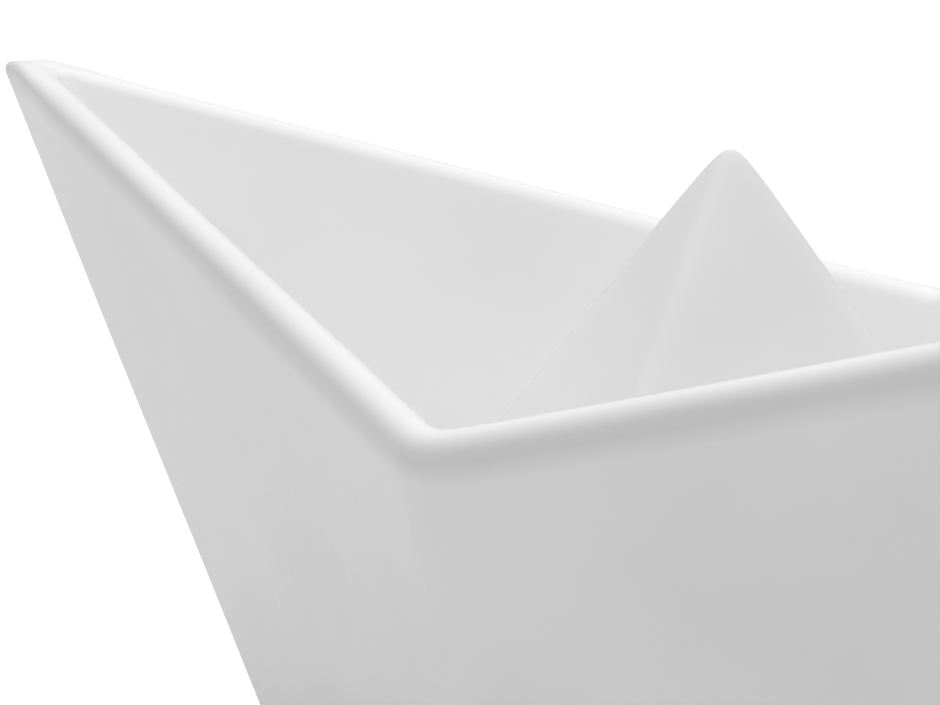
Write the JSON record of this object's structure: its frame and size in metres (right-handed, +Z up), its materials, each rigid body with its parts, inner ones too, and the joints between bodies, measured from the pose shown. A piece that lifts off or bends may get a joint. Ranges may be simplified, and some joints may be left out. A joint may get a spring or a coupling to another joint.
{
  "type": "ceramic paper boat bowl",
  "caption": "White glazed porcelain bowl shaped like a folded paper boat, with pointed ends, a soft full-round rim and a hollow four-sided peak standing inside.",
  "frame": {"origin": "on the table, under the middle of the boat, in the plane of its four bumpers", "axes": "+X runs from bow to stern along the boat's length, +Y is across to port, +Z is up"},
  "size_m": [0.3299, 0.1576, 0.1278],
  "materials": {
    "glazed_porcelain": "white, soft gloss glaze",
    "clear_silicone": "milky, satin"
  },
  "bodies": {
    "root": {"hull_shell": "glazed_porcelain", "sail_peak": "glazed_porcelain", "slip_bead": "glazed_porcelain", "bumper_bow": "clear_silicone", "bumper_stern": "clear_silicone", "bumper_port": "clear_silicone", "bumper_starboard": "clear_silicone"}
  },
  "joints": []
}
